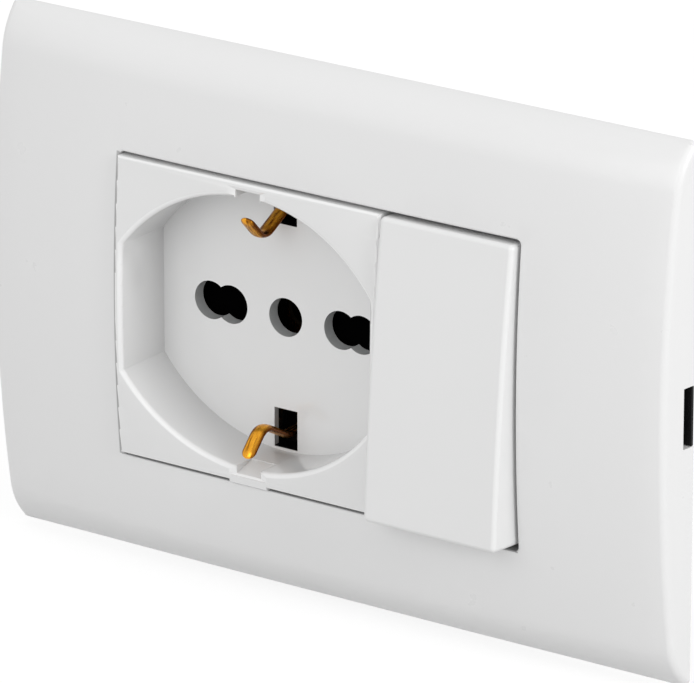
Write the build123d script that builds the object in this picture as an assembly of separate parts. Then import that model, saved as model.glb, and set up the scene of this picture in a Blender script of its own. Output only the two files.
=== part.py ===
from build123d import *
import os
from math import asin, cos, pi, radians, sin, sqrt, tan

# Three-module wall assembly: an earthed two-module socket and a one-module rocker switch, clipped
# in a support frame behind one crowned cover plate. Millimetres.
# +X is the viewer's right, +Z is up and -Y points out of the wall. The plane Y = 0 is the wall.
# The origin lies midway between the two fixing screws.

# Modules
module_pitch = 22.6
module_height = 44.5
module_gap = 0.1
face_y = -8.8
face_bulge = 230.0

# Cover plate
plate_width = 116.0
plate_height = 79.2
plate_wall = 1.8
plate_depth_centre = 8.3
plate_depth_side = 6.2
plate_bulge = 245.0
plate_roll = 6.6
plate_edge_round = 1.2
plate_lip = 0.4
plate_draft = 7.0
opening_clearance_x = 0.15
opening_clearance_z = 0.45
opening_edge_round = 0.4
side_slot_height = 8.8
side_slot_depth = 2.2
side_slot_middle_z = 0.4
snap_leg_width = 6.0
snap_leg_thickness = 1.4
snap_leg_x = 22.0
snap_hook = 0.6
snap_hook_y = -1.1
snap_tip_y = -0.15

# Support frame
frame_width = 111.2
frame_height = 68.0
frame_thickness = 2.2
frame_corner = 7.0
collar_wall = 1.6
collar_front_y = -3.6
collar_back_y = 3.0
screw_seat_margin = 1.6
screw_seat_depth = 1.4
relief_width = 4.5
relief_height = 10.0
relief_inset = 5.5
relief_z = 20.0
frame_rib_inset = 2.2
frame_rib_thickness = 1.2
frame_rib_height = 0.7
tongue_thickness = 0.5
tongue_clearance = 0.1
window_clearance = 0.25
box_screw_spacing = 83.5
box_slot_half_width = 2.1
box_slot_length = 8.4

# Socket recess
recess_depth = 10.3
recess_half_height = 20.1
recess_half_width = 21.3
recess_flat_half_height = 9.4
recess_rim_round = 0.8
face_edge_round = 0.4
floor_thickness = 2.0
notch_half_width = 2.15
notch_reach = 21.2
notch_depth = 4.0
notch_bulge = 0.2

# Pins: two spacings share each hole
narrow_pin_x = 9.5
wide_pin_x = 13.0
pin_hole_radius = 2.86
pin_waist_half_height = 2.1
pin_length = 19.0
floor_slot_half_width = 2.0
floor_slot_low = 13.8
floor_slot_high = 19.7

# Earth clips, in depth from the wall and height from the centre line
strip = 0.8
clip_half_width = 1.15
clip_half_thickness = 0.5
clip_bend = 2.2
clip_root_z = 17.1
clip_crest_y = -4.4
clip_crest_z = 14.0
clip_tip_y = -7.3
clip_tip_z = 17.0
clip_drop = 0.5
strap_y = 7.0
strap_half_width = 3.4
sleeve_radius = 3.0
sleeve_bore = 2.45
sleeve_back_y = 19.5
contact_margin = 2.4

# Shells behind the frame
shell_wall = 1.3
shell_back_y = 27.0
shell_inset = 0.8
flange_thickness = 1.4
flange_reach = 1.2
latch_reach = 0.7
latch_width = 5.0
boss_radius = 2.5
boss_bore = 1.15
shell_screw_radius = 1.1
shell_screw_head_radius = 2.1
shell_screw_head_height = 1.8
shell_screw_sink = 0.6
shell_screw_hole = 1.45
shell_screw_seat_radius = 2.4
shell_corner = 1.6
partition_thickness = 1.0

# Shutter
shutter_thickness = 1.6
shutter_gap = 0.5
shutter_half_height = 3.6
shutter_travel = 6.4

# Terminals
clamp_width = 6.6
clamp_wall = 0.9
clamp_height = 6.6
clamp_depth = 7.4
clamp_front_y = 17.4
clamp_outer_z = 19.4
screw_radius = 1.7
screw_head_radius = 2.3
screw_head_height = 1.8
wire_hole_radius = 2.1

# Rocker, drawn level and then tilted to its rest
rocker_width = 22.1
rocker_height = 43.8
rocker_front_y = -10.8
rocker_bulge = 450.0
rocker_wall = 1.5
rocker_skirt_y = -2.6
rocker_edge_round = 0.7
rocker_corner_round = 0.7
rocker_tilt = 5.3
pivot_y = -5.9
trunnion_radius = 1.5
trunnion_clearance = 0.06
ear_thickness = 1.6
stem_radius = 2.6
stem_bore = 1.75
stem_end_y = 3.4
deck_y = 0.2
plunger_radius = 1.65
plunger_tip_y = 6.8
plunger_back_y = -1.5
spring_seat_y = -7.2

# See-saw contact
lever_pivot_y = 8.4
lever_half_length = 8.6
lever_half_width = 2.6
lever_rise = 1.1
lever_tilt = 6.0
button_radius = 1.4
saddle_radius = 0.46
fulcrum_radius = 0.4

running = 0.3

# Places that follow from the sizes
module_count = 3
socket_x = -module_pitch / 2
switch_x = module_pitch
opening_width = module_count * module_pitch + 2 * opening_clearance_x
opening_height = module_height + 2 * opening_clearance_z
floor_y = face_y + recess_depth
floor_back_y = floor_y + floor_thickness
window_width = module_count * module_pitch + 2 * window_clearance
window_height = module_height + 2 * window_clearance
snap_leg_z = window_height / 2 + collar_wall + 3.6
lever_y = lever_pivot_y - saddle_radius - strip / 2 - 0.04
button_z = lever_half_length - 2.0
button_back_y = lever_y - lever_rise * button_z / lever_half_length + strip / 2 + 0.5
strip_base_y = lever_pivot_y + 3.4
flange_y = collar_back_y + 0.05
shell_joint_y = flange_y + flange_thickness
shell_height = module_height - 2 * shell_inset
shell_screw_seat_y = shell_back_y - shell_screw_sink - shell_screw_head_height
clamp_middle_y = clamp_front_y + clamp_depth / 2
tail_z = clamp_outer_z - clamp_height + clamp_wall + strip / 2 + 0.05
tail_back_y = clamp_front_y + clamp_depth - 0.6
tail_front_y = clamp_front_y - strip / 2 - 0.4
line_x = socket_x + (narrow_pin_x + wide_pin_x) / 2 + 1.0
neutral_x = socket_x - (narrow_pin_x + wide_pin_x) / 2 - 1.0
earth_x = socket_x + clip_half_width + 0.85
strap_reach = floor_slot_low - 2.5


def outline_xz(shape, front, back):
    """Solid with an outline drawn in X and Z between two depths."""
    return extrude(Plane.XZ.offset(-back) * shape, amount=back - front)


def outline_yz(shape, left, right):
    """Solid with a section drawn in Y and Z between two X places."""
    return extrude(Plane.YZ.offset(left) * shape, amount=right - left)


def block(left, right, front, back, low, high):
    """Block between two corners."""
    centre = ((left + right) / 2, (front + back) / 2, (low + high) / 2)
    return Pos(*centre) * Box(right - left, back - front, high - low)


def rod_y(x, z, radius, front, back):
    """Round bar along the depth."""
    return Pos(x, (front + back) / 2, z) * Rot(90, 0, 0) * Cylinder(radius, back - front)


def rod_x(y, z, radius, left, right):
    """Round bar along the width."""
    return Pos((left + right) / 2, y, z) * Rot(0, 90, 0) * Cylinder(radius, right - left)


def rod_z(x, y, radius, low, high):
    """Round bar along the height."""
    return Pos(x, y, (low + high) / 2) * Cylinder(radius, high - low)


def bent_strip(points, bend, thickness=strip):
    """Section of a folded strip whose centre line follows the points."""
    line = FilletPolyline(*points, radius=bend)
    return trace(line, line_width=thickness)


def bulged_section(front, bulge, half_height, back):
    """Section of a body whose front is one shallow arc."""
    sag = bulge - sqrt(bulge ** 2 - half_height ** 2)
    arc = ThreePointArc((front + sag, -half_height), (front, 0), (front + sag, half_height))
    rest = Polyline(arc @ 1, (back, half_height), (back, -half_height), arc @ 0)
    return make_face([arc] + list(rest.edges()))


def sag_at(z, bulge):
    """Depth lost by a shallow arc at a height."""
    return bulge - sqrt(bulge ** 2 - z ** 2)


# Cover plate

def plate_depth(x):
    """Depth of the plate's crown: flat over the modules, falling towards the sides."""
    return plate_depth_centre - (plate_depth_centre - plate_depth_side) * (2 * abs(x) / plate_width) ** 4


def plate_section(x, inset, back):
    """Upright section of the plate: a shallow arc that rolls over to the wall at both ends."""
    depth = plate_depth(x) - inset
    half = plate_height / 2 - inset
    z_roll = half - plate_roll
    y_roll = -depth + sag_at(z_roll, plate_bulge)
    slope = asin(z_roll / plate_bulge)
    main = ThreePointArc((y_roll, -z_roll), (-depth, 0), (y_roll, z_roll))
    top = TangentArc((y_roll, z_roll), (-plate_lip, half), tangent=(sin(slope), cos(slope)))
    bottom = TangentArc((y_roll, -z_roll), (-plate_lip, -half), tangent=(sin(slope), -cos(slope)))
    rest = Polyline(top @ 1, (back, half), (back, -half), bottom @ 1)
    return Plane.YZ.offset(x) * make_face([main, top, bottom] + list(rest.edges()))


def plate_body(inset, back):
    """Lofted body of the plate, cut to its drafted sides."""
    reach = plate_width / 2 + 2
    places = [reach * share for share in (-1, -0.7, 0, 0.7, 1)]
    crown = loft([plate_section(x, inset, back) for x in places])
    outline = Rectangle(plate_width - 2 * inset, plate_height - 2 * inset + 0.02)
    if inset < plate_edge_round:
        outline = fillet(outline.vertices(), plate_edge_round)
    sides = extrude(Plane.XZ.offset(-back) * outline, amount=plate_depth_centre + back + 2, taper=plate_draft)
    return crown & sides


def make_cover_plate():
    """Thin crowned shell with the module opening, side slots, ribs and snap legs."""
    outer = plate_body(0, 0)
    side_edges = [edge for edge in outer.edges()
                  if abs(edge.center().X) > plate_width / 2 - 2
                  and edge.bounding_box().max.Y < -plate_lip / 2 and edge.length > 3]
    plate = fillet(side_edges, plate_edge_round) - plate_body(plate_wall, 1)
    half_width = opening_width / 2
    half_height = opening_height / 2
    collar_outer = Rectangle(opening_width + 2.4, opening_height + 2.4)
    collar = outline_xz(collar_outer, -plate_depth_centre - 2, collar_front_y - running - 0.3)
    plate += collar & plate_body(plate_wall / 2, 1)
    plate -= outline_xz(RectangleRounded(2 * half_width, 2 * half_height, 0.8), -plate_depth_centre - 3, 2)
    opening_edges = [edge for edge in plate.edges()
                     if abs(edge.center().X) < half_width + 0.2 and abs(edge.center().Z) < half_height + 0.2
                     and edge.bounding_box().max.Y < -plate_depth_side]
    plate = fillet(opening_edges, opening_edge_round)
    for side in (-1, 1):
        reach = side * plate_width / 2
        slot = block(min(reach - side * 4, reach + side), max(reach - side * 4, reach + side),
                     -side_slot_depth, 1, side_slot_middle_z - side_slot_height / 2,
                     side_slot_middle_z + side_slot_height / 2)
        plate -= slot
    for x in (-snap_leg_x, snap_leg_x):
        for side in (-1, 1):
            plate += snap_leg(x, side)
    return plate


def snap_leg(x, side):
    """Leg that passes through the frame and hooks behind it."""
    root_y = -plate_depth_centre + sag_at(snap_leg_z, plate_bulge) + plate_wall * 0.6
    half = snap_leg_thickness / 2
    crest = half + snap_hook
    shape = [(root_y, -half), (snap_tip_y, -half), (snap_tip_y, half * 0.2), (snap_hook_y + 0.3, crest),
             (snap_hook_y, crest), (snap_hook_y, half), (root_y, half)]
    outline = Polyline(*[(y, side * (snap_leg_z + rise)) for y, rise in shape], close=True)
    return outline_yz(make_face(outline), x - snap_leg_width / 2, x + snap_leg_width / 2)


# Support frame

def make_support_frame():
    """Carrier plate with a collar round the module window, screw slots and holes for the snap legs."""
    sheet = outline_xz(RectangleRounded(frame_width, frame_height, frame_corner), -frame_thickness, 0)
    collar_outline = RectangleRounded(window_width + 2 * collar_wall, window_height + 2 * collar_wall, 1.5)
    frame = sheet + outline_xz(collar_outline, collar_front_y, collar_back_y)
    frame -= outline_xz(RectangleRounded(window_width, window_height, 0.5), -20, 20)
    for side in (-1, 1):
        x = side * box_screw_spacing / 2
        slot = SlotOverall(box_slot_length, 2 * box_slot_half_width)
        frame -= outline_xz(Pos(x, 0) * slot, -20, 20)
        seat_height = 2 * (box_slot_half_width + screw_seat_margin)
        seat = SlotOverall(box_slot_length + 2 * screw_seat_margin, seat_height)
        frame -= outline_xz(Pos(x, 0) * seat, -frame_thickness - 1, -screw_seat_depth)
        for z in (-relief_z, relief_z):
            relief = RectangleRounded(relief_width, relief_height, relief_width / 3)
            frame -= outline_xz(Pos(side * (frame_width / 2 - relief_inset), z) * relief, -20, 20)
        frame += frame_rib(side)
        frame += frame_tongue(side)
    for x in (-snap_leg_x, snap_leg_x):
        for side in (-1, 1):
            hole_height = snap_leg_thickness + 2 * running
            centre = side * snap_leg_z
            hole = Pos(x, centre) * Rectangle(snap_leg_width + 2 * running, hole_height)
            frame -= outline_xz(hole, -20, 20)
            catch = Pos(x, centre + side * snap_hook / 2) * Rectangle(snap_leg_width + 2 * running,
                                                                     hole_height + snap_hook)
            frame -= outline_xz(catch, snap_hook_y - 0.1, 20)
    for x in (socket_x - module_pitch / 2, socket_x + module_pitch / 2, switch_x):
        for side in (-1, 1):
            inner = window_height / 2 - 1
            outer = window_height / 2 + collar_wall + 1
            low, high = sorted((side * inner, side * outer))
            frame -= block(x - latch_width / 2 - 0.3, x + latch_width / 2 + 0.3, 0.4, 2.5, low, high)
    return frame


def frame_rib(side):
    """Upright stiffening rib on the frame's face, clear of the screw seat."""
    x = side * (frame_width / 2 - frame_rib_inset)
    reach = relief_z + relief_height / 2 - 1
    return block(x - frame_rib_thickness / 2, x + frame_rib_thickness / 2, -frame_thickness - frame_rib_height,
                 -frame_thickness, -reach, reach)


def frame_tongue(side):
    """Thin tongue that closes the plate's side slot from behind."""
    low, high = sorted((side * (frame_width / 2 - 1), side * (plate_width / 2 - 0.1)))
    half = side_slot_height / 2 - tongue_clearance
    return block(low, high, -tongue_thickness, 0, side_slot_middle_z - half, side_slot_middle_z + half)


# Socket, moulded front

def recess_outline():
    """Round recess drawn as two wide arcs that meet two upright flats."""
    flat = recess_flat_half_height
    half = recess_half_width
    top = ThreePointArc((-half, flat), (0, recess_half_height), (half, flat))
    bottom = ThreePointArc((half, -flat), (0, -recess_half_height), (-half, -flat))
    sides = [Line(top @ 1, bottom @ 0), Line(bottom @ 1, top @ 0)]
    return make_face([top, bottom] + sides)


def pin_hole_outline(side):
    """Two overlapping round holes joined by a narrower waist."""
    narrow = Pos(side * narrow_pin_x, 0) * Circle(pin_hole_radius)
    wide = Pos(side * wide_pin_x, 0) * Circle(pin_hole_radius)
    waist = Pos(side * (narrow_pin_x + wide_pin_x) / 2, 0)
    return narrow + wide + waist * Rectangle(wide_pin_x - narrow_pin_x, 2 * pin_waist_half_height)


def module_shell_front(left, right):
    """Front body of a module up to the shells' joint, with its flange behind the frame."""
    body = outline_yz(bulged_section(face_y, face_bulge, module_height / 2, shell_joint_y), left, right)
    return body + flange(left, right)


def flange(left, right):
    """Ledge at the top and bottom that bears on the frame's collar from behind."""
    reach = module_height / 2 + flange_reach
    return block(left, right, flange_y, shell_joint_y, -reach, reach)


def latch(x, side):
    """Snap tooth that springs into the collar's window."""
    z = side * (module_height / 2 - 0.2)
    tip = side * (module_height / 2 + latch_reach)
    tooth = Polyline((0.7, z), (2.2, z), (2.2, tip), (1.7, tip), close=True)
    return outline_yz(make_face(tooth), x - latch_width / 2, x + latch_width / 2)


def make_socket_front():
    """Face, recess, floor, notches and pin holes in one moulding."""
    left = socket_x - module_pitch + module_gap / 2
    right = socket_x + module_pitch - module_gap / 2
    body = module_shell_front(left, right)
    face_edges = [edge for edge in body.edges()
                  if edge.bounding_box().max.Y < face_y + sag_at(module_height / 2, face_bulge) + 0.2]
    body = fillet(face_edges, face_edge_round)
    place = Pos(socket_x, 0, 0)
    pad_front = face_y + sag_at(module_height / 2, face_bulge) + 0.6
    body += place * block(-notch_half_width - 1.2, notch_half_width + 1.2, pad_front, collar_front_y - running,
                          -module_height / 2 - notch_bulge, -module_height / 2 + 2)
    recess = outline_xz(recess_outline(), face_y - 2, floor_y)
    body -= place * recess
    rim = [edge for edge in body.edges() if is_rim(edge)]
    body = fillet(rim, recess_rim_round)
    for side in (-1, 1):
        low, high = sorted((side * (recess_half_height - 2), side * notch_reach))
        body -= place * block(-notch_half_width, notch_half_width, face_y - 2, face_y + notch_depth, low, high)
    body -= place * block(-module_pitch + 3, module_pitch - 3, floor_back_y, shell_joint_y + 1,
                          -module_height / 2 + 3, module_height / 2 - 3)
    for side in (-1, 1):
        body -= place * outline_xz(pin_hole_outline(side), floor_y - 1, floor_back_y + 1)
        low, high = sorted((side * floor_slot_low, side * floor_slot_high))
        body -= place * block(-floor_slot_half_width, floor_slot_half_width, floor_y - 1, floor_back_y + 1,
                              low, high)
    body -= place * rod_y(0, 0, pin_hole_radius, floor_y - 1, floor_back_y + 1)
    for x in (socket_x - module_pitch / 2, socket_x + module_pitch / 2):
        for side in (-1, 1):
            body += latch(x, side)
    for x, z in socket_screw_places():
        body += boss(x, z)
    return body


def is_rim(edge):
    """True for the edges where the recess meets the socket's face."""
    box = edge.bounding_box()
    inside = abs(edge.center().X - socket_x) < recess_half_width + 0.3 and box.max.Y < face_y + 2.2
    return inside and max(abs(box.min.Z), abs(box.max.Z)) < recess_half_height + 0.2


def socket_screw_places():
    """Two screws on a diagonal hold the socket's shells together."""
    reach_x = module_pitch - 4.4
    reach_z = module_height / 2 - 5.6
    return [(socket_x - reach_x, reach_z), (socket_x + reach_x, -reach_z)]


def boss(x, z):
    """Blind screw boss on the back of the socket's floor."""
    tower = rod_y(x, z, boss_radius, floor_back_y - 0.4, shell_joint_y + 3)
    return tower - rod_y(x, z, boss_bore, floor_back_y + 1.2, shell_joint_y + 4)


# Rear shells

def rear_shell(left, right):
    """Open box behind a module with drafted corners."""
    width = right - left
    middle = (left + right) / 2
    outline = Pos(middle, 0) * RectangleRounded(width, shell_height, shell_corner)
    outer = outline_xz(outline, shell_joint_y, shell_back_y)
    back_edges = outer.edges().filter_by(Axis.Y, reverse=True).group_by(Axis.Y)[-1]
    outer = chamfer(back_edges, 0.8)
    inner = Rectangle(width - 2 * shell_wall, shell_height - 2 * shell_wall)
    return outer - outline_xz(Pos(middle, 0) * inner, shell_joint_y - 1, shell_back_y - shell_wall)


def terminal_access(x, side):
    """Screw hole in the top or bottom wall and the wire hole in the back wall."""
    low, high = sorted((side * (clamp_outer_z - 1.5), side * (shell_height / 2 + 1)))
    screw_hole = rod_z(x, clamp_middle_y, screw_head_radius + 0.35, low, high)
    wire_z = side * (clamp_outer_z - clamp_height / 2 - 0.4)
    wire_hole = rod_y(x, wire_z, wire_hole_radius, shell_back_y - shell_wall - 1, shell_back_y + 1)
    return screw_hole + wire_hole


def make_socket_rear():
    """Rear shell with partitions between the live parts and the earth."""
    left = socket_x - module_pitch + module_gap / 2 + 0.4
    right = socket_x + module_pitch - module_gap / 2 - 0.4
    shell = rear_shell(left, right)
    inner_low = -shell_height / 2 + shell_wall / 2
    for side in (-1, 1):
        x = socket_x + side * (narrow_pin_x - contact_margin - partition_thickness / 2 - 0.65)
        shell += block(x - partition_thickness / 2, x + partition_thickness / 2, strap_y + 2.2,
                       shell_back_y - shell_wall / 2, inner_low, -inner_low)
    for x in (line_x, neutral_x, earth_x):
        shell -= terminal_access(x, -1)
    for x, z in socket_screw_places():
        shell += rod_y(x, z, boss_radius, shell_joint_y + 3 + 0.05, shell_back_y - shell_wall / 2)
        shell -= rod_y(x, z, shell_screw_hole, shell_joint_y, shell_back_y + 1)
        shell -= rod_y(x, z, shell_screw_seat_radius, shell_screw_seat_y, shell_back_y + 1)
    return shell


def shell_screw(x, z, tip_y):
    """Self-tapping screw from behind."""
    back = shell_back_y - shell_screw_sink
    profile = Polyline((0, back), (shell_screw_head_radius, back),
                       (shell_screw_head_radius, shell_screw_seat_y), (shell_screw_radius, shell_screw_seat_y),
                       (shell_screw_radius, tip_y), (0, tip_y), close=True)
    screw = revolve(make_face(profile), axis=Axis.Y)
    screw -= Pos(0, back, 0) * Box(2 * shell_screw_head_radius + 1, 1.4, 0.6)
    return Pos(x, 0, z) * screw


def make_socket_screws():
    """Screws of the socket's shells."""
    return [shell_screw(x, z, floor_back_y + 2) for x, z in socket_screw_places()]


# Socket, brass parts

def earth_arm(side):
    """Oval finger that comes through the floor's slot and over a crest to a round tip."""
    root_z = side * clip_root_z - clip_drop
    points = [(strap_y, side * (strap_reach - 1)), (strap_y, root_z), (floor_y, root_z),
              (clip_crest_y, side * clip_crest_z - clip_drop), (clip_tip_y, side * clip_tip_z - clip_drop)]
    path = Plane.YZ * FilletPolyline(*points, radius=clip_bend)
    section = Ellipse(clip_half_width, clip_half_thickness)
    arm = sweep(Plane(origin=path @ 0, x_dir=(1, 0, 0), z_dir=path % 0) * section, path=path)
    rim = EllipticalCenterArc((0, 0), clip_half_width, clip_half_thickness, start_angle=-90, arc_size=180)
    tip = revolve(make_face([rim, Line(rim @ 1, rim @ 0)]), axis=Axis.Y)
    return arm + Plane(origin=path @ 1, x_dir=(1, 0, 0), z_dir=path % 1) * tip


def make_earth_bridge():
    """One folded strip: a strap behind the floor, and a finger with a crest at each end."""
    strap = block(-strap_half_width, strap_half_width, strap_y - strip / 2, strap_y + strip / 2,
                  -strap_reach, strap_reach)
    body = earth_arm(-1) + earth_arm(1) + strap
    body -= rod_y(0, 0, sleeve_radius + 0.02, strap_y - 2, strap_y + 2)
    tail_left = clip_half_width + 0.4
    tail = outline_yz(bent_strip([(strap_y, -4), (strap_y, -tail_z), (tail_back_y, -tail_z)], 1.0),
                      tail_left, tail_left + 1.8)
    return Pos(socket_x, 0, 0) * (body + tail)


def make_earth_sleeve():
    """Split sleeve for the centre pin, riveted in the strap."""
    front = strap_y - strip / 2 - 0.25
    strap_back = strap_y + strip / 2
    sleeve = rod_y(0, 0, sleeve_radius, front, sleeve_back_y)
    sleeve += rod_y(0, 0, sleeve_radius + 0.7, strap_back + 0.02, strap_back + 0.8)
    sleeve -= rod_y(0, 0, sleeve_bore, front - 1, sleeve_back_y + 1)
    split = block(-0.35, 0.35, strap_y + 3.5, sleeve_back_y + 1, -sleeve_radius - 1, sleeve_radius + 1)
    cross = block(-sleeve_radius - 1, sleeve_radius + 1, strap_y + 3.5, sleeve_back_y + 1, -0.35, 0.35)
    return Pos(socket_x, 0, 0) * (sleeve - split - cross)


def make_pin_contact(side):
    """Folded spring contact: two flared leaves on a web, with a tail to its clamp."""
    mouth_y = strap_y + 1.2
    waist_y = strap_y + 4.5
    web_y = floor_y + pin_length + 1.1
    low_x, high_x = sorted((side * (narrow_pin_x - contact_margin), side * (wide_pin_x + contact_margin)))
    leaves = []
    for end in (-1, 1):
        points = [(mouth_y, end * 3.1), (waist_y, end * 2.2), (tail_front_y, end * 2.8), (web_y, end * 2.8),
                  (web_y, 0)]
        leaves.append(outline_yz(bent_strip(points, 0.5), low_x, high_x))
    middle = (line_x if side > 0 else neutral_x) - socket_x
    tail_points = [(tail_front_y, -2.8), (tail_front_y, -tail_z), (tail_back_y, -tail_z)]
    tail = outline_yz(bent_strip(tail_points, 1.0), middle - 2, middle + 2)
    return Pos(socket_x, 0, 0) * (leaves[0] + leaves[1] + tail)


def make_clamp(x, side):
    """Open terminal cage with a threaded wall towards its screw."""
    inner = clamp_outer_z - clamp_height
    low, high = sorted((side * inner, side * clamp_outer_z))
    cage = block(x - clamp_width / 2, x + clamp_width / 2, clamp_front_y, clamp_front_y + clamp_depth, low,
                 high)
    low, high = sorted((side * (inner + clamp_wall), side * (clamp_outer_z - 1.6)))
    cage -= block(x - clamp_width / 2 + clamp_wall, x + clamp_width / 2 - clamp_wall, clamp_front_y - 1,
                  clamp_front_y + clamp_depth + 1, low, high)
    low, high = sorted((side * (clamp_outer_z - 2.5), side * (clamp_outer_z + 1)))
    return cage - rod_z(x, clamp_middle_y, screw_radius + 0.02, low, high)


def terminal_screw(x, side):
    """Captive screw whose head stands in the shell's hole."""
    head_z = clamp_outer_z + 0.25
    profile = Polyline((0, head_z + screw_head_height), (screw_head_radius, head_z + screw_head_height),
                       (screw_head_radius, head_z), (screw_radius, head_z), (screw_radius, clamp_outer_z - 2.6),
                       (0, clamp_outer_z - 2.6), close=True)
    screw = revolve(Plane.XZ * make_face(profile), axis=Axis.Z)
    screw -= Pos(0, 0, head_z + screw_head_height) * Box(2 * screw_head_radius + 1, 0.8, 1.6)
    if side < 0:
        screw = Rot(180, 0, 0) * screw
    return Pos(x, clamp_middle_y, 0) * screw


def make_socket_terminal_screws():
    """Three terminal screws, reached from below."""
    return [terminal_screw(x, -1) for x in (neutral_x, earth_x, line_x)]


# Shutter

def shutter_front_y():
    """Front face of the shutter, just behind the floor."""
    return floor_back_y + shutter_gap


def make_pin_shutter():
    """Sliding plate that closes both pin holes, with a slot that stays clear of the earth pin."""
    reach = wide_pin_x + pin_hole_radius + 1.0
    front = shutter_front_y()
    back = front + shutter_thickness
    bar = block(-reach, reach, front, back, -shutter_half_height, shutter_half_height)
    web = narrow_pin_x - pin_hole_radius - 1.0
    web_low = -shutter_travel - pin_hole_radius - 2.2
    bar += block(-web, web, front, back, web_low, shutter_half_height + 1.6)
    clear_radius = pin_hole_radius + 0.15
    slot = SlotCenterToCenter(shutter_travel, 2 * clear_radius)
    bar -= outline_xz(Pos(0, -shutter_travel / 2) * Rot(0, 0, 90) * slot, front - 1, back + 1)
    for side in (-1, 1):
        low, high = sorted((side * (reach - 1.5), side * reach))
        bar += block(low, high, front, back, -shutter_half_height, shutter_half_height + 2.0)
    return Pos(socket_x, 0, 0) * bar


def make_shutter_spring():
    """Leaf spring above the shutter that pushes it down over the holes."""
    middle_y = shutter_front_y() + shutter_thickness / 2
    low_z = shutter_half_height + 2.0 + 0.35
    reach = 11.0
    line = Spline((reach + 3.5, low_z), (reach + 1.0, low_z + 5.5), (reach - 4.0, low_z + 9.5))
    section = trace(line, line_width=0.35)
    return Pos(socket_x, 0, 0) * outline_xz(section, middle_y - 0.7, middle_y + 0.7)


# Rocker switch

def tilted(shape, angle):
    """Turn a piece of the rocker about its trunnions."""
    return Pos(0, pivot_y, 0) * Rot(angle, 0, 0) * Pos(0, -pivot_y, 0) * shape


def make_rocker():
    """Hollow key with a crowned face, a skirt, two trunnions and the stem of the plunger."""
    left = switch_x - rocker_width / 2
    right = switch_x + rocker_width / 2
    half = rocker_height / 2
    body = outline_yz(bulged_section(rocker_front_y, rocker_bulge, half, rocker_skirt_y), left, right)
    body = fillet(body.edges().filter_by(Axis.Y), rocker_corner_round)
    face_edges = [edge for edge in body.edges()
                  if edge.bounding_box().max.Y < rocker_front_y + sag_at(half, rocker_bulge) + 0.3]
    body = fillet(face_edges, rocker_edge_round)
    inner = outline_yz(bulged_section(rocker_front_y + rocker_wall, rocker_bulge, half - rocker_wall,
                                      rocker_skirt_y + 1), left + 1.3, right - 1.3)
    body -= inner
    body += rod_y(switch_x, 0, stem_radius, rocker_front_y + rocker_wall / 2, stem_end_y)
    for side in (-1, 1):
        wall_x = switch_x + side * (rocker_width / 2 - 1.3)
        low, high = sorted((wall_x + side * 0.4, wall_x - side * (ear_thickness + 0.9)))
        body += rod_x(pivot_y, 0, trunnion_radius, low, high)
        rib_z = half - 9
        body += block(switch_x - 0.5, switch_x + 0.5, rocker_front_y + rocker_wall / 2, rocker_skirt_y - 3.5,
                      *sorted((side * stem_radius * 0.8, side * rib_z)))
    body -= rod_y(switch_x, 0, stem_bore, spring_seat_y, stem_end_y + 1)
    return tilted(body, -rocker_tilt)


def make_rocker_plunger():
    """Round-nosed pin that slides in the stem and presses on the see-saw."""
    nose = plunger_radius
    profile = make_face([
        Line((0, plunger_back_y), (plunger_radius, plunger_back_y)),
        Line((plunger_radius, plunger_back_y), (plunger_radius, plunger_tip_y - nose)),
        ThreePointArc((plunger_radius, plunger_tip_y - nose),
                      (nose * cos(pi / 4), plunger_tip_y - nose + nose * sin(pi / 4)), (0, plunger_tip_y)),
        Line((0, plunger_tip_y), (0, plunger_back_y))])
    pin = revolve(profile, axis=Axis.Y)
    return tilted(Pos(switch_x, 0, 0) * pin, -rocker_tilt)


def make_plunger_spring():
    """Coil spring between the stem's end and the plunger."""
    wire = 0.3
    turns = 4
    length = plunger_back_y - spring_seat_y - 2 * wire - 0.1
    radius = stem_bore - wire - 0.15
    path = Helix(pitch=length / turns, height=length, radius=radius)
    start = Plane(origin=path @ 0, z_dir=path % 0)
    coil = sweep(start * RegularPolygon(wire, 4), path=path)
    coil = Rot(-90, 0, 0) * coil
    return tilted(Pos(switch_x, spring_seat_y + wire + 0.05, 0) * coil, -rocker_tilt)


def make_switch_front():
    """Deck behind the rocker, with two ears for its trunnions and a well for its stem."""
    left = switch_x - module_pitch / 2 + module_gap / 2
    right = switch_x + module_pitch / 2 - module_gap / 2
    half = module_height / 2
    body = block(left, right, deck_y, shell_joint_y, -half, half) + flange(left, right)
    inner = block(left + 1.5, right - 1.5, deck_y + 1.5, shell_joint_y + 1, -half + 2.5, half - 2.5)
    body -= inner
    ear_height = 7.0
    for side in (-1, 1):
        inner_wall = switch_x + side * (rocker_width / 2 - 1.3 - 0.25)
        low, high = sorted((inner_wall, inner_wall - side * ear_thickness))
        ear = outline_yz(ear_outline(ear_height, deck_y + 1), low, high)
        body += ear
    body -= rod_x(pivot_y, 0, trunnion_radius + trunnion_clearance, left - 1, right + 1)
    swing = (stem_end_y - pivot_y) * tan(radians(rocker_tilt))
    well_z = stem_radius + swing + 0.7
    body -= block(switch_x - stem_radius - 0.5, switch_x + stem_radius + 0.5, deck_y - 1, shell_joint_y + 1,
                  -well_z, well_z)
    for side in (-1, 1):
        body += latch(switch_x, side)
    for x, z in switch_screw_places():
        body += rod_y(x, z, boss_radius, deck_y + 1, shell_joint_y)
        body -= rod_y(x, z, boss_bore, deck_y + 1.2, shell_joint_y + 1)
    return body


def ear_outline(width, base_y):
    """Rounded ear drawn in depth and height."""
    tip_radius = 2.4
    disc = Pos(pivot_y, 0) * Circle(tip_radius)
    web = make_face(Polyline((pivot_y, tip_radius), (base_y, width / 2), (base_y, -width / 2),
                             (pivot_y, -tip_radius), close=True))
    return disc + web


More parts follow.
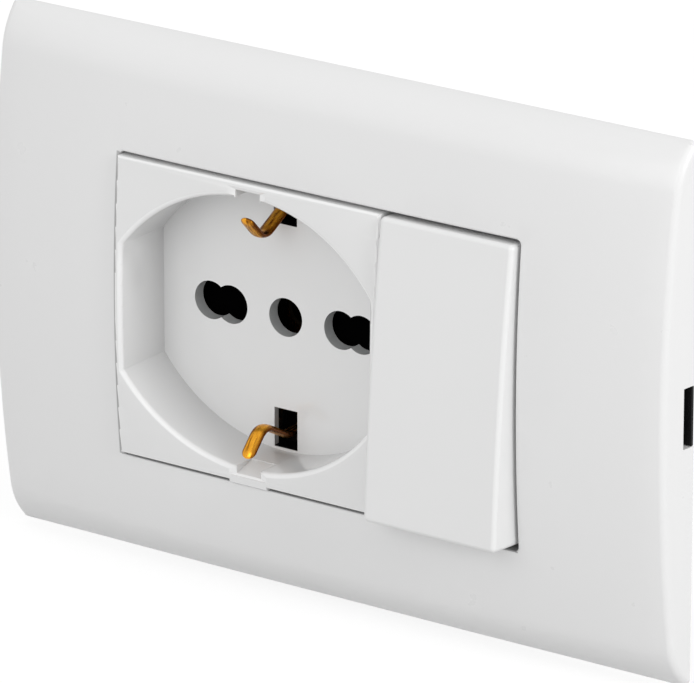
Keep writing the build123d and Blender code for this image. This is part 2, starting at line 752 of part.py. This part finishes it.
def make_switch_rear():
    """Rear shell of the switch with a terminal at the top and one at the bottom."""
    left = switch_x - module_pitch / 2 + module_gap / 2 + 0.2
    right = switch_x + module_pitch / 2 - module_gap / 2 - 0.2
    shell = rear_shell(left, right)
    for side in (-1, 1):
        shell -= terminal_access(switch_x, side)
    for x, z in switch_screw_places():
        shell += rod_y(x, z, boss_radius, shell_joint_y + 0.05, shell_back_y - shell_wall / 2)
        shell -= rod_y(x, z, shell_screw_hole, shell_joint_y - 1, shell_back_y + 1)
        shell -= rod_y(x, z, shell_screw_seat_radius, shell_screw_seat_y, shell_back_y + 1)
    return shell


def switch_screw_places():
    """Two screws on a diagonal hold the switch's shells together."""
    reach_x = module_pitch / 2 - 4.0
    return [(switch_x - reach_x, 9.0), (switch_x + reach_x, -9.0)]


def make_switch_screws():
    """Screws of the switch's shells."""
    return [shell_screw(x, z, deck_y + 1.8) for x, z in switch_screw_places()]


def make_contact_lever():
    """See-saw with two raised arms, a button on the upper one and a round saddle on its fulcrum."""
    end = lever_half_length
    points = [(lever_y - lever_rise, -end), (lever_y, 0), (lever_y - lever_rise, end)]
    arm = outline_yz(bent_strip(points, 6.0), switch_x - lever_half_width, switch_x + lever_half_width)
    arm += rod_y(switch_x, button_z, button_radius, button_back_y - 1.3, button_back_y)
    arm += block(switch_x - lever_half_width, switch_x + lever_half_width, lever_y, lever_pivot_y, -1.0, 1.0)
    reach = lever_half_width + 1
    arm -= rod_x(lever_pivot_y, 0, saddle_radius, switch_x - reach, switch_x + reach)
    return Pos(0, lever_pivot_y, 0) * Rot(lever_tilt, 0, 0) * Pos(0, -lever_pivot_y, 0) * arm


def make_common_terminal():
    """Strip with the see-saw's fulcrum and a tail to the lower clamp."""
    points = [(strip_base_y, 3.2), (strip_base_y, -tail_z), (tail_back_y, -tail_z)]
    body = outline_yz(bent_strip(points, 1.0), switch_x - 2, switch_x + 2)
    knife = Polyline((strip_base_y, -1.6), (lever_pivot_y, -0.3), (lever_pivot_y, 0.3), (strip_base_y, 1.6),
                     close=True)
    body += outline_yz(make_face(knife), switch_x - 2, switch_x + 2)
    return body + rod_x(lever_pivot_y, 0, fulcrum_radius, switch_x - 2, switch_x + 2)


def make_load_terminal():
    """Strip with the fixed silver button and a tail to the upper clamp."""
    points = [(strip_base_y, button_z - button_radius - 0.4), (strip_base_y, tail_z), (tail_back_y, tail_z)]
    body = outline_yz(bent_strip(points, 1.0), switch_x - 2, switch_x + 2)
    closed_y = lever_pivot_y + (button_z + button_radius) * sin(radians(lever_tilt))
    closed_y += (button_back_y - lever_pivot_y) * cos(radians(lever_tilt))
    return body + rod_y(switch_x, button_z, button_radius, closed_y + 0.15, strip_base_y)


def write(name, shape):
    """Write one named piece, or several like ones as a group."""
    pieces = shape if isinstance(shape, list) else [shape]
    solids = [solid for piece in pieces for solid in piece.solids()]
    whole = solids[0] if len(solids) == 1 else Compound(children=solids)
    whole.label = name
    export_step(whole, f"parts/{name}.step")
    print(f"{name}: {len(solids)} solid(s), {sum(solid.volume for solid in solids):.1f} mm3")


def main():
    """Build and write every piece."""
    os.makedirs("parts", exist_ok=True)
    write("cover_plate", make_cover_plate())
    write("support_frame", make_support_frame())
    write("socket_front", make_socket_front())
    write("socket_rear", make_socket_rear())
    write("socket_screws", make_socket_screws())
    write("earth_bridge", make_earth_bridge())
    write("earth_sleeve", make_earth_sleeve())
    write("line_contact", make_pin_contact(1))
    write("neutral_contact", make_pin_contact(-1))
    write("line_clamp", make_clamp(line_x, -1))
    write("neutral_clamp", make_clamp(neutral_x, -1))
    write("earth_clamp", make_clamp(earth_x, -1))
    write("socket_terminal_screws", make_socket_terminal_screws())
    write("pin_shutter", make_pin_shutter())
    write("shutter_spring", make_shutter_spring())
    write("switch_front", make_switch_front())
    write("switch_rear", make_switch_rear())
    write("switch_screws", make_switch_screws())
    write("rocker", make_rocker())
    write("rocker_plunger", make_rocker_plunger())
    write("plunger_spring", make_plunger_spring())
    write("contact_lever", make_contact_lever())
    write("common_terminal", make_common_terminal())
    write("load_terminal", make_load_terminal())
    write("common_clamp", make_clamp(switch_x, -1))
    write("load_clamp", make_clamp(switch_x, 1))
    write("switch_terminal_screws", [terminal_screw(switch_x, -1), terminal_screw(switch_x, 1)])


main()
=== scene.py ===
import math

import bmesh
import bpy
from mathutils import Matrix, Vector


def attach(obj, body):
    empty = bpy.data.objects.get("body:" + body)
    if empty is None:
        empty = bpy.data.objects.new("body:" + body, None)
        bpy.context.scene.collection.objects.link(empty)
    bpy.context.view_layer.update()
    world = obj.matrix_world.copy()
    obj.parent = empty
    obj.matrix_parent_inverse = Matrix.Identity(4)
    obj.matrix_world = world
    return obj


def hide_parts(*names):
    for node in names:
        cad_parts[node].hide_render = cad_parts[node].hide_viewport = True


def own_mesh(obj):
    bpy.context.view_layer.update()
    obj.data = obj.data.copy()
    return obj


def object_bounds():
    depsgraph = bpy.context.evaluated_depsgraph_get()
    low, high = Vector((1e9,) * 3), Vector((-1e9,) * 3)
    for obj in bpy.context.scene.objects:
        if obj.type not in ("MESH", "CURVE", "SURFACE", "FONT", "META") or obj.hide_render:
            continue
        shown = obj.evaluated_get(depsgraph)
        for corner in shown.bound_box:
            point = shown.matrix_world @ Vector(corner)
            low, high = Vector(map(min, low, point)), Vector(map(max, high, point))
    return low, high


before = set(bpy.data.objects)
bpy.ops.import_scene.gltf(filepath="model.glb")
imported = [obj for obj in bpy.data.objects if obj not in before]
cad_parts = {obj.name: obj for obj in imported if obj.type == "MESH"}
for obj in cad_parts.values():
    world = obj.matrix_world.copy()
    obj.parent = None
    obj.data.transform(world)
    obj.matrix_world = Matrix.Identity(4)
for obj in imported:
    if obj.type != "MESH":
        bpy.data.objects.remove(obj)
cad_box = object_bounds()

# Wall socket with a rocker switch under one crowned cover plate. Metres, in the model's own frame:
# +X is the viewer's right, +Z is up and -Y points out of the wall.

# Camera, fitted to the corners of the plate and of its opening in the picture
azimuth = math.radians(35.165)
elevation = math.radians(19.662)
camera_distance = 1.05803
camera_aim = (0.000274, -0.000787)
sensor_width = 0.036
picture_width = 694
focal_pixels = 7557.6
near_clip = 0.05
far_clip = 20

# Light and floor
ambient_level = 0.76
lamp_distance = 1.3
key_direction = (0.93, -0.09, 0.40)
key_level = 0.44
key_size = 0.5
front_direction = (0.0, -0.92, 0.39)
front_level = 0.28
front_size = 1.0
floor_gap = 0.0004
floor_size = 4.0
floor_glow = 1.22
floor_glow_share = 0.7

# Socket's face, recess and floor slots
socket_x = -0.0113
face_front_y = -0.0088
face_bulge = 0.230
floor_front_y = 0.0015
rim_back_y = -0.0068
recess_half_height = 0.0201
slot_low_z = 0.0138
slot_high_z = 0.0197

# Notches in the rim of the recess
notch_half_width = 0.0021
notch_inner_z = 0.0185
notch_outer_z = 0.0212
notch_depth = 0.004
notch_run_in = 0.001
flare_width = 0.0012
flare_rise = 0.0004
flare_depth = 0.00035
filling_inset = 0.00012
filling_lap = 0.0008
filling_side_lap = 0.0001

# Pad under the lower notch
pad_half_width = 0.0032
pad_low_z = -0.02264
pad_high_z = -0.0214
pad_round = 0.0003
pad_back_y = -0.0045
round_steps = 8
sunk = 0.00001

# Cover plate
opening_half_width = 0.03405
opening_half_height = 0.0227
opening_lip_y = -0.0075
corner_draw_low = 0.0009
corner_draw_high = 0.0005
edge_draw = 0.0003
edge_draw_start = 0.6

# Meshes
weld_distance = 0.0000005
smooth_angle = math.radians(32)

# Places painted with shade or highlight: hole and slot walls, the gaps at the plate's opening, the recess rim
# and walls, and the clip's edges
shade_softness = 0.00005
shade_margin = 0.0001
shade_back_y = 0.006
slot_margin = 0.0009
slot_grey_depth = 0.0010
lip_width = 0.00035
clip_half_width = 0.00115
clip_edge_width = 0.00030
clip_edge_fade = 0.00022
before_face_y = -0.02
rim_lean_start = (0.008, 0.03)
rim_lean_end = (0.45, 0.75)
wall_lean_start = (0.6, 0.9)

# Plastic: features per metre of its noises, and how far its roughness wanders
flow_scale = 60
sheen_scale = 220
grain_scale = 2600
gloss_wander = 0.06
plastic_ior = 1.52

# Metal: features per metre of its noises, and what they do to its colour and roughness
patch_scale = 420
patch_limits = (0.35, 0.75)
patch_strength = 0.85
line_scale = 900
line_stretch = (6, 1, 1)
line_limits = (0.3, 0.7)
line_polish = 0.08
line_wear = 0.14
line_height = 0.000003
streak_scale = 800
streak_stretch = (2.6, 0.4, 0.4)
streak_limits = (0.52, 0.66)
streak_strength = 0.9

# Colours
white_plastic = (0.740, 0.740, 0.740)
module_plastic = (0.738, 0.739, 0.738)
rocker_plastic = (0.740, 0.741, 0.740)
# Painted highlight on the rounded rim of the recess, and painted shade down the recess walls
rim_painted_highlight = (0.82, 0.82, 0.82)
recess_wall_painted_shade = (0.64, 0.64, 0.64)
# Painted shade in the pin holes and far inside the floor slots
hole_wall_painted_shade = (0.48, 0.49, 0.49)
slot_painted_shade = (0.006, 0.006, 0.006)
# Painted shade on the lips of the plate's opening, below and at the left
gap_painted_shade = (0.34, 0.34, 0.34)
lip_painted_shade = (0.42, 0.42, 0.42)
frame_plastic = (0.004, 0.004, 0.0045)
shell_plastic = (0.020, 0.020, 0.022)
# Shutter: black plastic taken below real black, with no specular, as painted shade behind the pin holes
shutter_painted_shade_black = (0.0008, 0.0008, 0.0009)
plunger_plastic = (0.78, 0.78, 0.76)
brass_metal = (0.86, 0.40, 0.035)
brass_dull = (0.50, 0.19, 0.012)
# Dark colour of the tarnish streaks, also painted as shade along the clip's sides
tarnish_and_edge_shade = (0.16, 0.045, 0.004)
# Earth sleeve: metal darkened to near black as painted shade deep in the centre hole
sleeve_bronze_painted_shade_colour = (0.02, 0.014, 0.008)
nickel_metal = (0.70, 0.62, 0.47)
steel_metal = (0.62, 0.63, 0.64)
floor_paint = (0.60, 0.60, 0.60)


# Node helpers

def add(tree, kind, **values):
    """New node with its settings and input values."""
    node = tree.nodes.new(kind)
    for name, value in values.items():
        if name in node.inputs:
            node.inputs[name].default_value = value
        else:
            setattr(node, name, value)
    return node


def link(tree, source, target):
    """Join an output to an input."""
    tree.links.new(source, target)


def empty_material(name):
    """Material with only its output and shader."""
    material = bpy.data.materials.new(name)
    material.use_nodes = True
    tree = material.node_tree
    tree.nodes.clear()
    output = add(tree, "ShaderNodeOutputMaterial")
    shader = add(tree, "ShaderNodeBsdfPrincipled")
    link(tree, shader.outputs["BSDF"], output.inputs["Surface"])
    return material, tree, shader


def noise(tree, scale, detail, roughness=0.5, stretch=(1, 1, 1)):
    """Noise in the object's own metres, scaled to features of 1 / scale metres."""
    place = add(tree, "ShaderNodeTexCoord")
    mapping = add(tree, "ShaderNodeMapping", Scale=stretch)
    texture = add(tree, "ShaderNodeTexNoise", Scale=scale, Detail=detail, Roughness=roughness)
    link(tree, place.outputs["Object"], mapping.inputs["Vector"])
    link(tree, mapping.outputs["Vector"], texture.inputs["Vector"])
    return texture.outputs["Fac"]


def spread(tree, source, low, high, limits):
    """Map what lies between two limits onto the range from low to high, and hold its ends outside them."""
    remap = add(tree, "ShaderNodeMapRange")
    remap.inputs["From Min"].default_value = limits[0]
    remap.inputs["From Max"].default_value = limits[1]
    remap.inputs["To Min"].default_value = low
    remap.inputs["To Max"].default_value = high
    link(tree, source, remap.inputs["Value"])
    return remap.outputs["Result"]


def mixed(tree, factor, first, second):
    """Blend of two colours by a factor; the first is a fixed colour or the output of a node."""
    mix = add(tree, "ShaderNodeMix", data_type="RGBA")
    colours = [socket for socket in mix.inputs if socket.type == "RGBA"]
    if isinstance(first, tuple):
        colours[0].default_value = (*first, 1)
    else:
        link(tree, first, colours[0])
    colours[1].default_value = (*second, 1)
    link(tree, factor, mix.inputs["Factor"])
    return [socket for socket in mix.outputs if socket.type == "RGBA"][0]


def coordinate(tree, kind, axis):
    """One axis of the object's own place or normal."""
    place = add(tree, "ShaderNodeTexCoord")
    split = add(tree, "ShaderNodeSeparateXYZ")
    link(tree, place.outputs[kind], split.inputs[0])
    return split.outputs[axis]


def turned(tree, factor):
    """One minus a factor."""
    rest = add(tree, "ShaderNodeMath", operation="SUBTRACT")
    rest.inputs[0].default_value = 1.0
    link(tree, factor, rest.inputs[1])
    return rest.outputs[0]


def product(tree, first, second):
    """Product of two factors."""
    times = add(tree, "ShaderNodeMath", operation="MULTIPLY")
    link(tree, first, times.inputs[0])
    link(tree, second, times.inputs[1])
    return times.outputs[0]


def rising(tree, source, limits):
    """0 below the limits, 1 above them."""
    return spread(tree, source, 0, 1, limits)


def falling(tree, source, limits):
    """1 below the limits, 0 above them."""
    return spread(tree, source, 1, 0, limits)


def between(tree, axis, low, high, softness=shade_softness):
    """1 where a coordinate lies between two places, else 0."""
    place = coordinate(tree, "Object", axis)
    return product(tree, rising(tree, place, (low - softness, low + softness)),
                   falling(tree, place, (high - softness, high + softness)))


def lean(tree):
    """0 where a surface faces the front or the back, 1 where it faces sideways, up or down."""
    size = add(tree, "ShaderNodeMath", operation="ABSOLUTE")
    link(tree, coordinate(tree, "Normal", "Y"), size.inputs[0])
    return turned(tree, size.outputs[0])


def bump(tree, shader, source, height):
    """Fine relief of a given height in metres."""
    relief = add(tree, "ShaderNodeBump", Strength=1.0, Distance=height)
    link(tree, source, relief.inputs["Height"])
    link(tree, relief.outputs["Normal"], shader.inputs["Normal"])


def shade(colour, factor):
    """Same colour, lighter or darker."""
    return tuple(min(channel * factor, 1.0) for channel in colour)


# Materials

def recess_painted_highlight_and_shade(tree, colour):
    """Painted highlight where the face rounds over into the recess, and painted shade that greys the recess
    walls towards the floor.
    """
    leaning = lean(tree)
    band = product(tree, rising(tree, leaning, rim_lean_start), falling(tree, leaning, rim_lean_end))
    front = between(tree, "Y", before_face_y, rim_back_y)
    colour = mixed(tree, product(tree, band, front), colour, rim_painted_highlight)
    depth = rising(tree, coordinate(tree, "Object", "Y"), (rim_back_y, floor_front_y))
    walls = product(tree, rising(tree, leaning, wall_lean_start), depth)
    return mixed(tree, walls, colour, recess_wall_painted_shade)


def shaded_place(tree, colour, limits, place_colour):
    """Another colour inside the limits along some axes."""
    factors = [between(tree, axis, low, high) for axis, (low, high) in limits.items()]
    factor = factors[0]
    for other in factors[1:]:
        factor = product(tree, factor, other)
    return mixed(tree, factor, colour, place_colour)


def moulded_plastic(name, colour, gloss, grain_height, variation=0.006, specular=0.5, places=(),
                    recess=False):
    """Moulded plastic: faint flow variation, a gloss that wanders a little and a very fine skin.

    Each of the places has limits along some axes and a colour painted there as shade, as in narrow holes and
    gaps."""
    material, tree, shader = empty_material(name)
    flow = rising(tree, noise(tree, flow_scale, detail=3), (0, 1))
    colour_out = mixed(tree, flow, shade(colour, 1 - variation), shade(colour, 1 + variation))
    # Painted highlight on the recess rim and painted shade down the recess walls
    if recess:
        colour_out = recess_painted_highlight_and_shade(tree, colour_out)
    # Painted shade in holes, slots and gaps
    for limits, place_colour in places:
        colour_out = shaded_place(tree, colour_out, limits, place_colour)
    link(tree, colour_out, shader.inputs["Base Color"])
    sheen = noise(tree, sheen_scale, detail=5)
    roughness = spread(tree, sheen, gloss - gloss_wander, gloss + gloss_wander, (0, 1))
    link(tree, roughness, shader.inputs["Roughness"])
    shader.inputs["IOR"].default_value = plastic_ior
    shader.inputs["Specular IOR Level"].default_value = specular
    bump(tree, shader, noise(tree, grain_scale, detail=2), grain_height)
    return material


def stamped_metal(name, bright, dull, roughness, edges=None):
    """Stamped strip: drawn lines along it and dull patches.

    Where edges gives the X places of its two sides, these are darkened as painted shade, and dark tarnish
    streaks run between them."""
    material, tree, shader = empty_material(name)
    patches = noise(tree, patch_scale, detail=6, roughness=0.6)
    lines = noise(tree, line_scale, detail=3, stretch=line_stretch)
    colour = mixed(tree, spread(tree, patches, 0, patch_strength, patch_limits), bright, dull)
    if edges:
        # Painted shade along the clip's sides
        core = between(tree, "X", *edges, softness=clip_edge_fade)
        colour = mixed(tree, turned(tree, core), colour, tarnish_and_edge_shade)
        streaks = noise(tree, streak_scale, detail=1, stretch=streak_stretch)
        colour = mixed(tree, spread(tree, streaks, 0, streak_strength, streak_limits), colour, tarnish_and_edge_shade)
    link(tree, colour, shader.inputs["Base Color"])
    wear = spread(tree, lines, roughness - line_polish, roughness + line_wear, line_limits)
    link(tree, wear, shader.inputs["Roughness"])
    shader.inputs["Metallic"].default_value = 1.0
    bump(tree, shader, lines, line_height)
    return material


# Stage

def look_along(direction, place):
    """Transform of a lamp that stands at a place and shines along a direction."""
    return Matrix.Translation(place) @ Vector(direction).to_track_quat("-Z", "Y").to_matrix().to_4x4()


def make_camera():
    """Long lens from the right and above, as in the picture."""
    back = Vector((math.sin(azimuth) * math.cos(elevation), -math.cos(azimuth) * math.cos(elevation),
                   math.sin(elevation)))
    right = Vector((math.cos(azimuth), math.sin(azimuth), 0))
    up = back.cross(right)
    place = right * camera_aim[0] + up * camera_aim[1] + back * camera_distance
    data = bpy.data.cameras.new("camera")
    data.sensor_width = sensor_width * 1000
    data.lens = focal_pixels / picture_width * sensor_width * 1000
    data.clip_start = near_clip
    data.clip_end = far_clip
    camera = bpy.data.objects.new("camera", data)
    camera.matrix_world = Matrix.Translation(place) @ Matrix((right, up, back)).transposed().to_4x4()
    bpy.context.collection.objects.link(camera)
    bpy.context.scene.camera = camera


def make_lamp(name, direction, level, size):
    """Square soft box that lights a white surface facing it at the origin to a level."""
    place = Vector(direction).normalized() * lamp_distance
    data = bpy.data.lights.new(name, "AREA")
    data.shape = "SQUARE"
    data.size = size
    data.energy = level * (math.pi * lamp_distance) ** 2
    lamp = bpy.data.objects.new(name, data)
    lamp.matrix_world = look_along(-place, place)
    bpy.context.collection.objects.link(lamp)


def seen_background(tree):
    """1 where the camera, a reflection or glass looks at the surroundings, else 0."""
    path = add(tree, "ShaderNodeLightPath")
    first = add(tree, "ShaderNodeMath", operation="MAXIMUM")
    second = add(tree, "ShaderNodeMath", operation="MAXIMUM")
    link(tree, path.outputs["Is Camera Ray"], first.inputs[0])
    link(tree, path.outputs["Is Glossy Ray"], first.inputs[1])
    link(tree, first.outputs[0], second.inputs[0])
    link(tree, path.outputs["Is Transmission Ray"], second.inputs[1])
    return second.outputs[0]


def make_world():
    """Even grey light with a white backdrop for the camera."""
    world = bpy.data.worlds.new("studio")
    bpy.context.scene.world = world
    world.use_nodes = True
    tree = world.node_tree
    tree.nodes.clear()
    output = add(tree, "ShaderNodeOutputWorld")
    light = add(tree, "ShaderNodeBackground", Color=(1, 1, 1, 1), Strength=ambient_level)
    backdrop = add(tree, "ShaderNodeBackground", Color=(1, 1, 1, 1), Strength=1.0)
    mix = add(tree, "ShaderNodeMixShader")
    link(tree, seen_background(tree), mix.inputs[0])
    link(tree, light.outputs[0], mix.inputs[1])
    link(tree, backdrop.outputs[0], mix.inputs[2])
    link(tree, mix.outputs[0], output.inputs["Surface"])


def make_floor():
    """Plain pale floor under the plate, white to the camera apart from a soft shadow."""
    material = bpy.data.materials.new("floor")
    material.use_nodes = True
    tree = material.node_tree
    tree.nodes.clear()
    output = add(tree, "ShaderNodeOutputMaterial")
    paint = add(tree, "ShaderNodeBsdfDiffuse", Color=(*floor_paint, 1))
    glow = add(tree, "ShaderNodeEmission", Strength=floor_glow)
    mix = add(tree, "ShaderNodeMixShader")
    share = add(tree, "ShaderNodeMath", operation="MULTIPLY")
    share.inputs[1].default_value = floor_glow_share
    link(tree, seen_background(tree), share.inputs[0])
    link(tree, share.outputs[0], mix.inputs[0])
    link(tree, paint.outputs[0], mix.inputs[1])
    link(tree, glow.outputs[0], mix.inputs[2])
    link(tree, mix.outputs[0], output.inputs["Surface"])
    bpy.ops.mesh.primitive_plane_add(size=floor_size, location=(0, 0, cad_box[0][2] - floor_gap))
    floor = bpy.context.object
    floor.name = "floor"
    floor.data.materials.append(material)


# Finishes of the model's nodes

def hole_painted_shades():
    """Painted shade: greyer walls for the holes in the socket's floor.

    As painted shade, the slots are nearly black far inside and along their lower walls."""
    front = floor_front_y + shade_softness
    inside = {"Y": (front, shade_back_y), "Z": (-slot_high_z - slot_margin, slot_high_z + slot_margin)}
    places = [(inside, hole_wall_painted_shade)]
    for low, high in ((-slot_high_z, -slot_low_z), (slot_low_z, slot_high_z)):
        deep = {"Y": (floor_front_y + slot_grey_depth, shade_back_y),
                "Z": (low - slot_margin, high + slot_margin)}
        lower_wall = {"Y": (front, shade_back_y), "Z": (low - shade_margin, low + shade_margin)}
        places += [(deep, slot_painted_shade), (lower_wall, slot_painted_shade)]
    return places


def gap_painted_shades():
    """Painted shade: greyer lips for the plate's opening, below and at the left, where the gaps lie."""
    lower_gap = {"X": (-opening_half_width, opening_half_width), "Y": (opening_lip_y, shade_back_y),
                 "Z": (-opening_half_height - shade_margin, -opening_half_height + shade_margin)}
    left_gap = {"X": (-opening_half_width - lip_width, -opening_half_width + shade_margin),
                "Z": (-opening_half_height, opening_half_height)}
    return [(lower_gap, gap_painted_shade), (left_gap, lip_painted_shade)]


def finish_nodes():
    """Give every node its material."""
    # The cover's colour carries painted shade on the lips of its opening
    cover = moulded_plastic("cover_white", white_plastic, gloss=0.30, grain_height=0.0000015,
                            places=gap_painted_shades())
    # The module's colour carries painted shade in its holes and slots, and the recess's painted highlight and
    # shade
    module = moulded_plastic("module_white", module_plastic, gloss=0.15, grain_height=0.000002,
                             places=hole_painted_shades(), recess=True)
    key = moulded_plastic("rocker_white", rocker_plastic, gloss=0.32, grain_height=0.0000015)
    carrier = moulded_plastic("frame_black", frame_plastic, gloss=0.6, grain_height=0.000006,
                              variation=0.05, specular=0.2)
    shell = moulded_plastic("shell_black", shell_plastic, gloss=0.5, grain_height=0.000006, variation=0.1)
    # Black shutter, also painted shade: no specular so the pin holes read black
    shutter = moulded_plastic("shutter_black", shutter_painted_shade_black, gloss=0.7, grain_height=0.000006,
                              variation=0.1, specular=0.0)
    plunger = moulded_plastic("plunger_white", plunger_plastic, gloss=0.4, grain_height=0.000003)
    clip_edge = clip_half_width - clip_edge_width
    clip_brass = stamped_metal("clip_brass", brass_metal, brass_dull, roughness=0.24,
                               edges=(socket_x - clip_edge, socket_x + clip_edge))
    brass = stamped_metal("brass", brass_metal, brass_dull, roughness=0.26)
    # Metal sleeve with painted shade: nearly black so the centre hole reads dark
    sleeve_finish = stamped_metal("bronze_dark", sleeve_bronze_painted_shade_colour, shade(sleeve_bronze_painted_shade_colour, 0.5), roughness=0.5)
    nickel = stamped_metal("clamp_brass", nickel_metal, shade(nickel_metal, 0.7), roughness=0.33)
    steel = stamped_metal("screw_steel", steel_metal, shade(steel_metal, 0.7), roughness=0.3)
    wire = stamped_metal("spring_steel", shade(steel_metal, 0.85), shade(steel_metal, 0.5), roughness=0.25)
    finishes = {"cover_plate": cover, "support_frame": carrier, "socket_front": module,
                "socket_rear": shell, "socket_screws": steel, "earth_bridge": clip_brass,
                "earth_sleeve": sleeve_finish, "line_contact": brass, "neutral_contact": brass,
                "line_clamp": nickel, "neutral_clamp": nickel, "earth_clamp": nickel,
                "socket_terminal_screws": steel, "pin_shutter": shutter, "shutter_spring": wire,
                "switch_front": shell, "switch_rear": shell, "switch_screws": steel, "rocker": key,
                "rocker_plunger": plunger, "plunger_spring": wire, "contact_lever": brass,
                "common_terminal": brass, "load_terminal": brass, "common_clamp": nickel,
                "load_clamp": nickel, "switch_terminal_screws": steel}
    for name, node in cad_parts.items():
        node.data.materials.clear()
        node.data.materials.append(finishes[name])


# Pieces made or remade for the looks

def welded_copy(node, name):
    """Closed copy of a node's mesh as a new object."""
    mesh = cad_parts[node].data.copy()
    if "custom_normal" in mesh.attributes:
        mesh.attributes.remove(mesh.attributes["custom_normal"])
    shape = bmesh.new()
    shape.from_mesh(mesh)
    bmesh.ops.remove_doubles(shape, verts=shape.verts, dist=weld_distance)
    shape.to_mesh(mesh)
    shape.free()
    piece = bpy.data.objects.new(name, mesh)
    bpy.context.collection.objects.link(piece)
    return piece


def face_y(z):
    """Depth of the socket's crowned face at a height."""
    return face_front_y + z * z / (2 * face_bulge)


def stacked_rings(name, rings):
    """Closed solid through rings with the same number of points."""
    shape = bmesh.new()
    rows = [[shape.verts.new(point) for point in ring] for ring in rings]
    for low, high in zip(rows, rows[1:]):
        for index, vertex in enumerate(low):
            follow = (index + 1) % len(low)
            shape.faces.new((vertex, low[follow], high[follow], high[index]))
    shape.faces.new(rows[0])
    shape.faces.new(rows[-1])
    bmesh.ops.recalc_face_normals(shape, faces=shape.faces)
    mesh = bpy.data.meshes.new(name)
    shape.to_mesh(mesh)
    shape.free()
    tool = bpy.data.objects.new(name, mesh)
    bpy.context.collection.objects.link(tool)
    return tool


def notch_tool(side):
    """Cutter of a notch with a wide shallow bevel at its mouth and an outer wall that runs out inwards."""
    rings = []
    for depth in (-notch_run_in, 0, flare_depth, notch_depth):
        flare = 1 if depth <= 0 else 0
        half = notch_half_width + flare_width * flare
        slope = (notch_outer_z - recess_half_height) * max(depth, 0) / notch_depth
        outer = side * (notch_outer_z + flare_rise * flare - slope)
        inner = side * notch_inner_z
        corners = [(-half, inner), (half, inner), (half, outer), (-half, outer)]
        rings.append([(socket_x + x, face_y(z) + depth, z) for x, z in corners])
    return stacked_rings("notch_tool", rings)


def bar(name, profile, half_width):
    """Solid with one outline across the socket's middle, the outline given as (y, z) points."""
    sides = (socket_x - half_width, socket_x + half_width)
    return stacked_rings(name, [[(x, y, z) for y, z in profile] for x in sides])


def notch_filling(side):
    """Bar that closes the plain notch of the node before the bevelled one is cut."""
    low = recess_half_height - filling_inset
    high = notch_outer_z + filling_lap
    front = face_y(high) + sunk
    back = front + notch_depth + filling_lap
    outline = [(front, low), (front, high), (back, high), (back, low)]
    return bar("notch_filling", [(y, side * z) for y, z in outline], notch_half_width + filling_side_lap)


def pad_tool():
    """Pad under the lower notch: it carries the face on, rounds over and ends close to the plate."""
    profile = [(pad_back_y, pad_high_z), (face_y(pad_high_z) - sunk, pad_high_z)]
    turn_z = pad_low_z + pad_round
    for step in range(round_steps + 1):
        angle = math.pi / 2 * step / round_steps
        profile.append((face_y(turn_z) - sunk + pad_round * (1 - math.cos(angle)),
                        turn_z - pad_round * math.sin(angle)))
    profile.append((pad_back_y, pad_low_z))
    return bar("pad_tool", profile, pad_half_width)


def combine(piece, tool, operation):
    """Join a tool to a piece or cut it away, and drop the tool."""
    step = piece.modifiers.new(operation, "BOOLEAN")
    step.operation = operation
    step.object = tool
    step.solver = "EXACT"
    bpy.context.view_layer.update()
    evaluated = piece.evaluated_get(bpy.context.evaluated_depsgraph_get())
    mesh = bpy.data.meshes.new_from_object(evaluated)
    piece.modifiers.clear()
    piece.data = mesh
    bpy.data.objects.remove(tool)


def smooth_by_angle(piece):
    """Smooth shading that keeps the real edges."""
    piece.data.shade_smooth()
    piece.data.set_sharp_from_angle(angle=smooth_angle)


def make_cover_shell():
    """The cover plate with its left corners and its lower edge drawn in a little."""
    piece = welded_copy("cover_plate", "cover_shell")
    for vertex in piece.data.vertices:
        x, _, z = vertex.co
        side = min(max((-x - opening_half_width) / (cad_box[1][0] - opening_half_width), 0), 1)
        height = z / cad_box[1][2]
        drawn = corner_draw_low if z < 0 else corner_draw_high
        vertex.co.x = x + drawn * side ** 2 * height ** 2
        if z < 0:
            vertex.co.z = z + edge_draw * max(abs(height) - edge_draw_start, 0) / (1 - edge_draw_start)
    smooth_by_angle(piece)
    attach(piece, "housing")
    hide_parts("cover_plate")


def make_socket_face():
    """The socket's moulding with bevelled notches and the pad below the lower one."""
    piece = welded_copy("socket_front", "socket_face")
    for side in (-1, 1):
        combine(piece, notch_filling(side), "UNION")
        combine(piece, notch_tool(side), "DIFFERENCE")
    combine(piece, pad_tool(), "UNION")
    smooth_by_angle(piece)
    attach(piece, "housing")
    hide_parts("socket_front")


def make_springs():
    """Smooth copies of the two springs that the shutter and the plunger press on, each with a mesh of its
    own.
    """
    leaf = welded_copy("shutter_spring", "shutter_leaf")
    smooth_by_angle(leaf)
    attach(leaf, "housing")
    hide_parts("shutter_spring")
    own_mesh(leaf)
    coil = welded_copy("plunger_spring", "plunger_coil")
    smooth_by_angle(coil)
    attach(coil, "rocker")
    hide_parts("plunger_spring")
    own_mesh(coil)


finish_nodes()
make_cover_shell()
make_socket_face()
make_springs()
make_world()
make_lamp("key", key_direction, key_level, key_size)
make_lamp("front", front_direction, front_level, front_size)
make_floor()
make_camera()
bpy.context.scene.view_settings.view_transform = "Standard"
